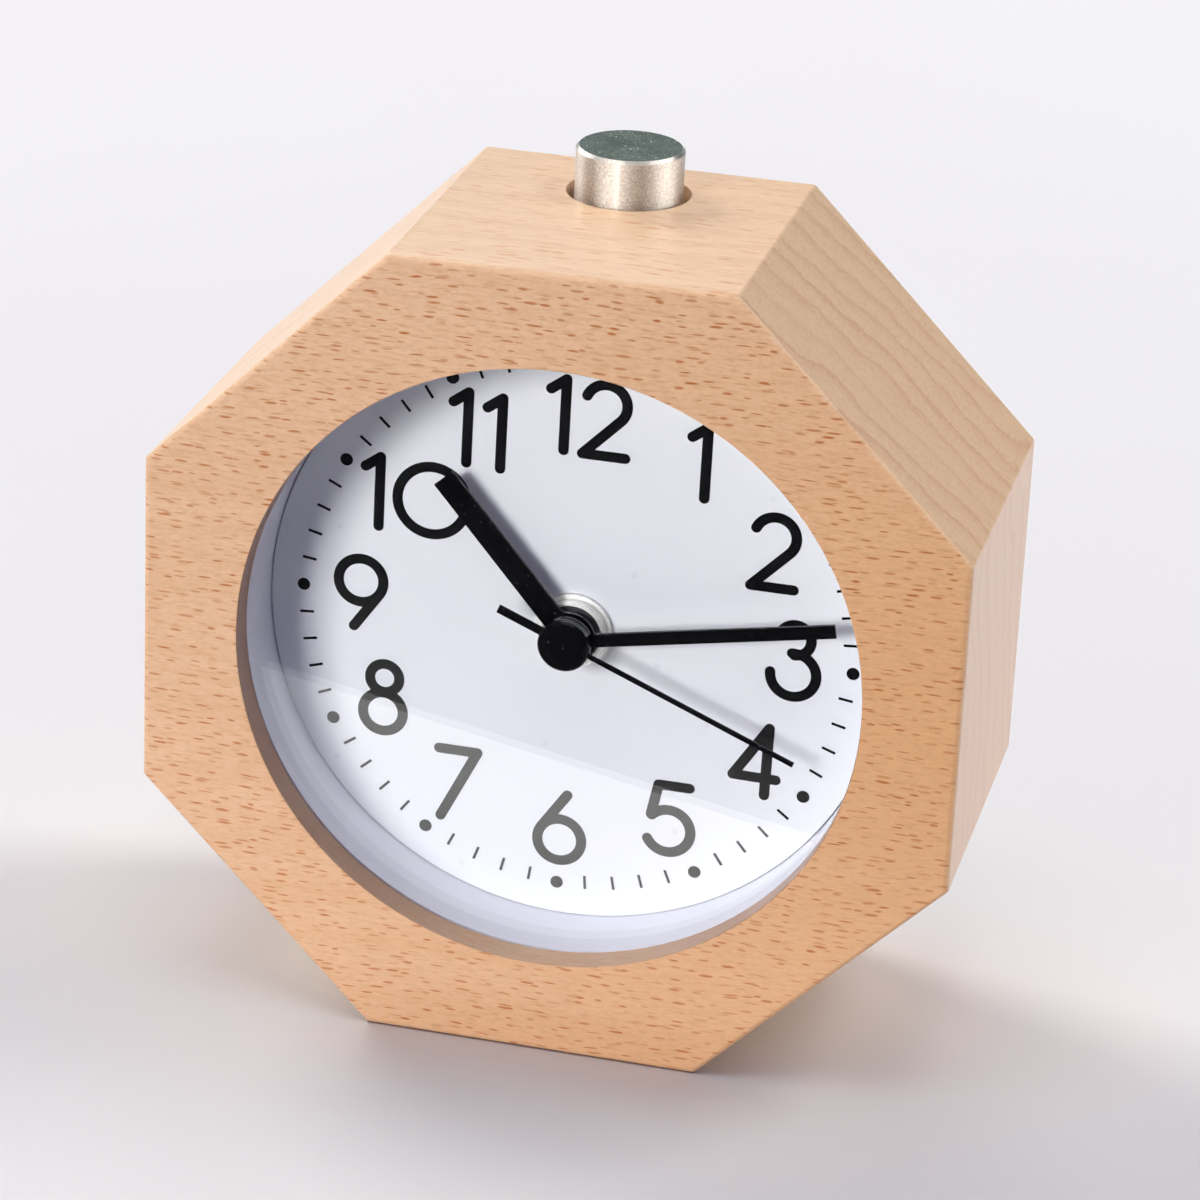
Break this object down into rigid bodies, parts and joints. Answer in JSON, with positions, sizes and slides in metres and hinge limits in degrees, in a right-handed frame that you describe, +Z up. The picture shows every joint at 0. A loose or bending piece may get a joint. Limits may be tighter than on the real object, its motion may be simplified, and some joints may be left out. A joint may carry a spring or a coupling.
{
  "type": "wooden desk alarm clock",
  "caption": "Octagonal beech desk clock with a deep-set round dial behind glass, three black hands, a snooze push button on the top flat and a battery quartz movement set from the back",
  "frame": {"origin": "Middle of the bottom flat that the clock stands on, halfway between its front and back faces", "axes": "X to the right as the dial is read, Y backwards from the dial, Z up"},
  "size_m": [0.09, 0.0449, 0.0952],
  "materials": {
    "beech": "oiled beech with short dark ray flecks",
    "clear_glass": "clear polished",
    "white_plastic": "glossy white",
    "dial_white": "smooth white card",
    "hand_black": "glossy black lacquer",
    "bright_steel": "turned and plated",
    "button_nickel": "satin turned nickel",
    "black_plastic": "fine moulded texture",
    "grey_plastic": "moulded",
    "plate_plastic": "moulded",
    "gear_plastic": "moulded acetal",
    "spring_steel": "bright drawn",
    "stator_iron": "soft iron",
    "coil_copper": "enamelled copper wire",
    "board_green": "varnished board",
    "cell_jacket": "plain metal jacket",
    "washer_rubber": "soft black"
  },
  "bodies": {
    "case": {"alarm_leaf": "spring_steel", "alarm_switch_body": "black_plastic", "back_cover": "black_plastic", "back_cover_screws": "spring_steel", "battery_cell": "cell_jacket", "battery_contact_negative": "spring_steel", "battery_contact_positive": "spring_steel", "button_spring": "spring_steel", "buzzer": "black_plastic", "centre_nut": "bright_steel", "circuit_board": "board_green", "clock_chip": "black_plastic", "coil_bobbin": "plate_plastic", "coil_core": "stator_iron", "coil_winding": "coil_copper", "dial": "dial_white", "glass_lens": "clear_glass", "inner_housing": "white_plastic", "middle_plate": "plate_plastic", "movement_front_case": "grey_plastic", "movement_rear_case": "grey_plastic", "quartz_crystal": "spring_steel", "rubber_washer": "washer_rubber", "snooze_board": "board_green", "snooze_switch": "black_plastic", "stator": "stator_iron", "switch_bracket": "grey_plastic", "train_bridge": "plate_plastic", "wooden_case": "beech"},
    "second_train": {"second_hand": "hand_black", "second_wheel": "gear_plastic"},
    "third_train": {"third_wheel": "gear_plastic"},
    "fifth_train": {"fifth_wheel": "gear_plastic"},
    "rotor": {"rotor_pinion": "gear_plastic", "rotor_magnet": "stator_iron"},
    "centre_train": {"centre_wheel": "gear_plastic"},
    "minute_train": {"minute_hand": "hand_black", "cannon_pinion": "gear_plastic", "clutch_spring": "spring_steel"},
    "minute_work": {"minute_work_wheel": "gear_plastic"},
    "hour_train": {"hour_hand": "hand_black", "hour_wheel": "gear_plastic"},
    "alarm_train": {"alarm_hand": "hand_black", "alarm_wheel": "gear_plastic"},
    "time_setter": {"time_set_pinion": "gear_plastic", "time_knob": "black_plastic"},
    "alarm_setter": {"alarm_set_wheel": "gear_plastic", "alarm_knob": "black_plastic"},
    "snooze_button": {"button_cap": "button_nickel", "button_stem": "grey_plastic", "button_clip": "spring_steel"},
    "alarm_switch": {"alarm_switch_slider": "black_plastic"},
    "door": {"battery_door": "black_plastic"}
  },
  "joints": [
    {"name": "second_hand_turn", "type": "hinge", "parent": "case", "child": "second_train", "pos_m": [0, -0.011, 0.045], "axis": [0, 1, 0], "continuous": true},
    {"name": "third_wheel_turn", "type": "hinge", "parent": "case", "child": "third_train", "pos_m": [0, 0.0068, 0.05175], "axis": [0, 1, 0], "continuous": true},
    {"name": "fifth_wheel_turn", "type": "hinge", "parent": "case", "child": "fifth_train", "pos_m": [-0.0039, 0.0083, 0.04275], "axis": [0, 1, 0], "continuous": true},
    {"name": "rotor_turn", "type": "hinge", "parent": "case", "child": "rotor", "pos_m": [-0.0081, 0.0069, 0.04275], "axis": [0, 1, 0], "continuous": true},
    {"name": "centre_wheel_turn", "type": "hinge", "parent": "case", "child": "centre_train", "pos_m": [0, 0.0033, 0.045], "axis": [0, 1, 0], "continuous": true},
    {"name": "minute_hand_turn", "type": "hinge", "parent": "case", "child": "minute_train", "pos_m": [0, -0.0104, 0.045], "axis": [0, 1, 0], "continuous": true},
    {"name": "minute_work_turn", "type": "hinge", "parent": "case", "child": "minute_work", "pos_m": [0.0052, 0.001, 0.048], "axis": [0, 1, 0], "continuous": true},
    {"name": "hour_hand_turn", "type": "hinge", "parent": "case", "child": "hour_train", "pos_m": [0, -0.0094, 0.045], "axis": [0, 1, 0], "continuous": true},
    {"name": "time_knob_turn", "type": "hinge", "parent": "case", "child": "time_setter", "pos_m": [0.01169, 0.022, 0.05175], "axis": [0, 1, 0], "continuous": true},
    {"name": "alarm_hand_turn", "type": "hinge", "parent": "case", "child": "alarm_train", "pos_m": [0, -0.0087, 0.045], "axis": [0, 1, 0], "continuous": true},
    {"name": "alarm_knob_turn", "type": "hinge", "parent": "case", "child": "alarm_setter", "pos_m": [-0.01143, 0.022, 0.0516], "axis": [0, 1, 0], "continuous": true},
    {"name": "snooze_button_press", "type": "slide", "parent": "case", "child": "snooze_button", "axis": [0, 0, -1], "range_m": [0, 0.0015], "stiffness_N_per_m": 400, "springref_m": -0.003, "deforming": ["button_spring"]},
    {"name": "alarm_switch_slide", "type": "slide", "parent": "case", "child": "alarm_switch", "axis": [1, 0, 0], "range_m": [0, 0.004]},
    {"name": "battery_door_swing", "type": "hinge", "parent": "case", "child": "door", "pos_m": [0, 0.0184, 0.02328], "axis": [-1, 0, 0], "range_deg": [0, 95]}
  ],
  "couplings": [
    {"joint": "third_wheel_turn", "follows": "second_hand_turn", "ratio": -0.13333},
    {"joint": "centre_wheel_turn", "follows": "second_hand_turn", "ratio": 0.016667},
    {"joint": "fifth_wheel_turn", "follows": "second_hand_turn", "ratio": -5},
    {"joint": "rotor_turn", "follows": "second_hand_turn", "ratio": 30},
    {"joint": "minute_work_turn", "follows": "minute_hand_turn", "ratio": -0.33333},
    {"joint": "hour_hand_turn", "follows": "minute_hand_turn", "ratio": 0.083333},
    {"joint": "time_knob_turn", "follows": "minute_hand_turn", "ratio": 0.5},
    {"joint": "alarm_knob_turn", "follows": "alarm_hand_turn", "ratio": -0.57143}
  ]
}
